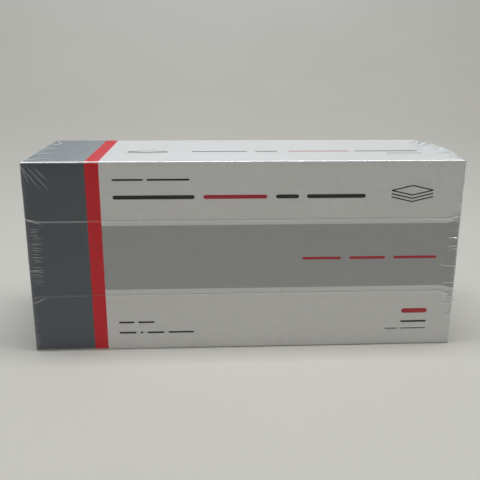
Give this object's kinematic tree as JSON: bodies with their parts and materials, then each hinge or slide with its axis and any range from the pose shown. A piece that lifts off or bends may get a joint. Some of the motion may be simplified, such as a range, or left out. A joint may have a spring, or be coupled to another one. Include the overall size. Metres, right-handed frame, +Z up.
{
  "type": "foil sheet dispenser carton",
  "caption": "Long printed carton of interfolded aluminium foil sheets with a tear-out front panel, tuck ends and a clear shrink film.",
  "frame": {"origin": "centre of the underside, on the surface that the carton stands on", "axes": "+X along the carton to the right, -Y out of the dispensing face, +Z up"},
  "size_m": [0.31, 0.11, 0.141],
  "materials": {
    "printed_board": "satin",
    "grey_printed_board": "satin",
    "plain_board": "matte",
    "foil": "satin",
    "film": "gloss"
  },
  "bodies": {
    "root": {"front_upper_panel": "printed_board", "front_lower_panel": "printed_board", "top_panel": "printed_board", "bottom_panel": "printed_board", "back_panel": "printed_board", "glue_flap": "plain_board", "foil_stack": "foil", "second_sheet": "foil", "third_sheet": "foil", "fourth_sheet": "foil", "fifth_sheet": "foil", "sixth_sheet": "foil", "film_sleeve": "film"},
    "tear_panel": {"tear_out_panel": "grey_printed_board", "film_tear_patch": "film"},
    "pulled_sheet": {"first_sheet": "foil"},
    "left_closure": {"left_end_closure": "printed_board", "left_end_film": "film"},
    "left_lip": {"left_tuck_lip": "printed_board"},
    "left_upper_flap": {"left_upper_dust_flap": "plain_board"},
    "left_lower_flap": {"left_lower_dust_flap": "plain_board"},
    "right_closure": {"right_end_closure": "printed_board", "right_end_film": "film"},
    "right_lip": {"right_tuck_lip": "printed_board"},
    "right_upper_flap": {"right_upper_dust_flap": "plain_board"},
    "right_lower_flap": {"right_lower_dust_flap": "plain_board"}
  },
  "joints": [
    {"name": "tear_panel_pull", "type": "slide", "parent": "root", "child": "tear_panel", "axis": [0, -1, 0], "range_m": [0, 0.16]},
    {"name": "first_sheet_pull", "type": "slide", "parent": "root", "child": "pulled_sheet", "axis": [0, -1, 0], "range_m": [0, 0.08], "deforming": ["first_sheet"]},
    {"name": "left_closure_hinge", "type": "hinge", "parent": "root", "child": "left_closure", "pos_m": [-0.15325, 0.0544, 0.0705], "axis": [0, 0, -1], "range_deg": [0, 110]},
    {"name": "left_lip_crease", "type": "hinge", "parent": "left_closure", "child": "left_lip", "pos_m": [-0.1539, -0.0527, 0.0705], "axis": [0, 0, -1], "range_deg": [0, 66]},
    {"name": "left_upper_flap_crease", "type": "hinge", "parent": "root", "child": "left_upper_flap", "pos_m": [-0.1526, 0, 0.1386], "axis": [0, 1, 0], "range_deg": [0, 82.5]},
    {"name": "left_lower_flap_crease", "type": "hinge", "parent": "root", "child": "left_lower_flap", "pos_m": [-0.1526, 0, 0.0024], "axis": [0, -1, 0], "range_deg": [0, 82.5]},
    {"name": "right_closure_hinge", "type": "hinge", "parent": "root", "child": "right_closure", "pos_m": [0.15325, 0.0544, 0.0705], "axis": [0, 0, 1], "range_deg": [0, 110]},
    {"name": "right_lip_crease", "type": "hinge", "parent": "right_closure", "child": "right_lip", "pos_m": [0.1539, -0.0527, 0.0705], "axis": [0, 0, 1], "range_deg": [0, 66]},
    {"name": "right_upper_flap_crease", "type": "hinge", "parent": "root", "child": "right_upper_flap", "pos_m": [0.1526, 0, 0.1386], "axis": [0, -1, 0], "range_deg": [0, 82.5]},
    {"name": "right_lower_flap_crease", "type": "hinge", "parent": "root", "child": "right_lower_flap", "pos_m": [0.1526, 0, 0.0024], "axis": [0, 1, 0], "range_deg": [0, 82.5]}
  ],
  "couplings": [
    {"joint": "first_sheet_pull", "follows": "tear_panel_pull", "ratio": 0.5},
    {"joint": "left_lip_crease", "follows": "left_closure_hinge", "ratio": 0.6},
    {"joint": "left_upper_flap_crease", "follows": "left_closure_hinge", "ratio": 0.75},
    {"joint": "left_lower_flap_crease", "follows": "left_closure_hinge", "ratio": 0.75},
    {"joint": "right_lip_crease", "follows": "right_closure_hinge", "ratio": 0.6},
    {"joint": "right_upper_flap_crease", "follows": "right_closure_hinge", "ratio": 0.75},
    {"joint": "right_lower_flap_crease", "follows": "right_closure_hinge", "ratio": 0.75}
  ]
}
